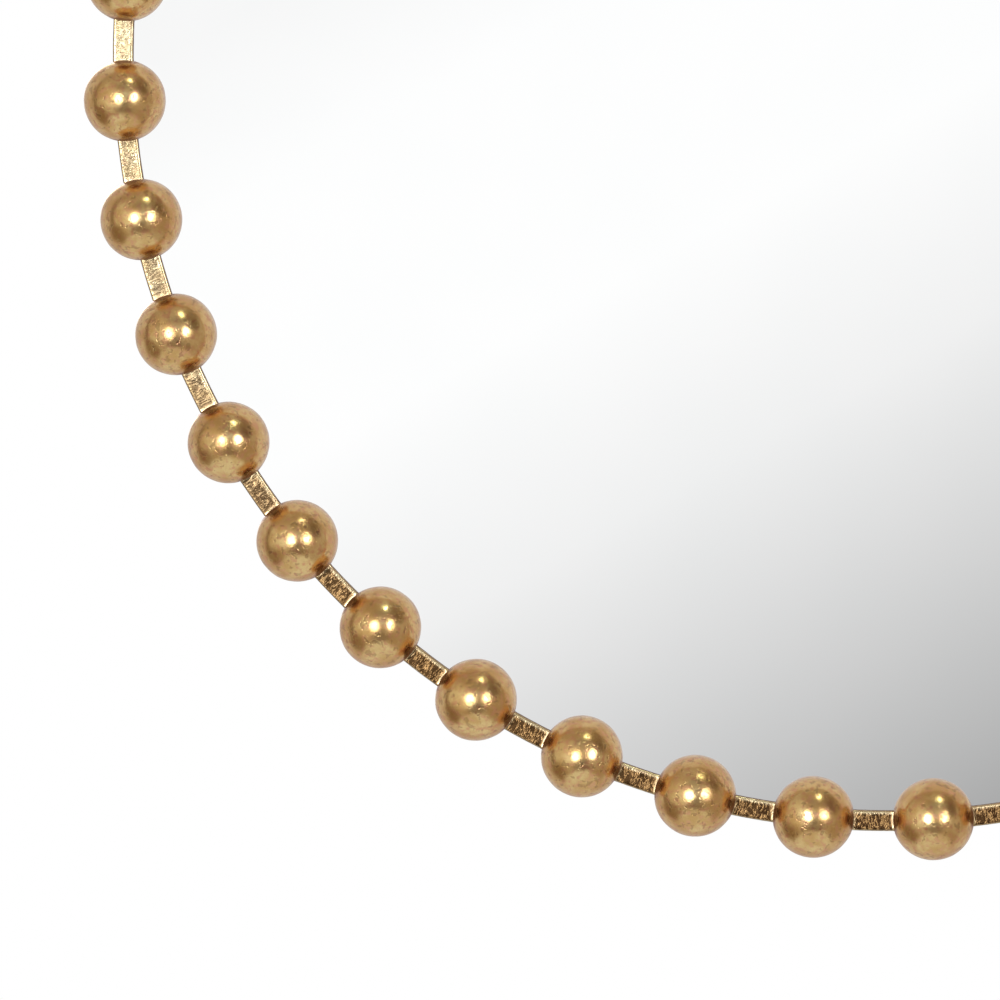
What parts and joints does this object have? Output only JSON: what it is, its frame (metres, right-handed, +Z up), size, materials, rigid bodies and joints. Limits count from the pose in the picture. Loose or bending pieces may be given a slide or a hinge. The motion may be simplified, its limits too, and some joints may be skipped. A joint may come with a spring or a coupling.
{
  "type": "round wall mirror",
  "caption": "Round flat wall mirror framed by a ring of gold-leafed iron balls joined by short flat links, with a black iron rim, a fibreboard back and hinged D-rings to hang it by.",
  "frame": {"origin": "on the wall plane, straight behind the centre of the glass; the bumpers' rear faces lie in that plane", "axes": "+Y into the wall, so that the mirror faces -Y; +Z up as it hangs; +X to the right of someone who looks into the mirror"},
  "size_m": [0.7596, 0.0455, 0.7596],
  "materials": {
    "gilded_ball": "gold leaf over bole and gesso on iron, burnished to a soft gloss",
    "gilded_hoop": "crinkled gold leaf over gesso on iron flat bar",
    "black_iron": "satin black paint on rolled flat iron",
    "silvered_glass": "clear float glass, silvered and lacquered grey on the back",
    "foam_tape": "closed-cell black glazing tape",
    "fibreboard": "bare medium-density fibreboard with a sanded face",
    "zinc_steel": "bright zinc plate on mild steel",
    "bumper_rubber": "moulded black rubber, matt"
  },
  "bodies": {
    "frame": {"ball_01": "gilded_ball", "ball_02": "gilded_ball", "ball_03": "gilded_ball", "ball_04": "gilded_ball", "ball_05": "gilded_ball", "ball_06": "gilded_ball", "ball_07": "gilded_ball", "ball_08": "gilded_ball", "ball_09": "gilded_ball", "ball_10": "gilded_ball", "ball_11": "gilded_ball", "ball_12": "gilded_ball", "ball_13": "gilded_ball", "ball_14": "gilded_ball", "ball_15": "gilded_ball", "ball_16": "gilded_ball", "ball_17": "gilded_ball", "ball_18": "gilded_ball", "ball_19": "gilded_ball", "ball_20": "gilded_ball", "ball_21": "gilded_ball", "ball_22": "gilded_ball", "ball_23": "gilded_ball", "ball_24": "gilded_ball", "ball_25": "gilded_ball", "ball_26": "gilded_ball", "ball_27": "gilded_ball", "ball_28": "gilded_ball", "ball_29": "gilded_ball", "ball_30": "gilded_ball", "ball_31": "gilded_ball", "ball_32": "gilded_ball", "ball_33": "gilded_ball", "ball_34": "gilded_ball", "ball_35": "gilded_ball", "ball_36": "gilded_ball", "ball_37": "gilded_ball", "ball_38": "gilded_ball", "ball_39": "gilded_ball", "ball_40": "gilded_ball", "hoop": "gilded_hoop", "rim_band": "black_iron", "glazing_tape": "foam_tape", "mirror_glass": "silvered_glass", "back_panel": "fibreboard", "retaining_tab_1": "zinc_steel", "retaining_tab_2": "zinc_steel", "retaining_tab_3": "zinc_steel", "retaining_tab_4": "zinc_steel", "retaining_tab_5": "zinc_steel", "retaining_tab_6": "zinc_steel", "hanger_strap_left": "zinc_steel", "hanger_screw_left": "zinc_steel", "wall_bumper_left": "bumper_rubber", "hanger_strap_right": "zinc_steel", "hanger_screw_right": "zinc_steel", "wall_bumper_right": "bumper_rubber"},
    "ring_left": {"hanger_ring_left": "zinc_steel"},
    "ring_right": {"hanger_ring_right": "zinc_steel"}
  },
  "joints": [
    {"name": "hanger_ring_left_swing", "type": "hinge", "parent": "frame", "child": "ring_left", "pos_m": [-0.2888, -0.0052, 0.16008], "axis": [1, 0, 0], "range_deg": [0, 180]},
    {"name": "hanger_ring_right_swing", "type": "hinge", "parent": "frame", "child": "ring_right", "pos_m": [0.2888, -0.0052, 0.16008], "axis": [1, 0, 0], "range_deg": [0, 180]}
  ]
}
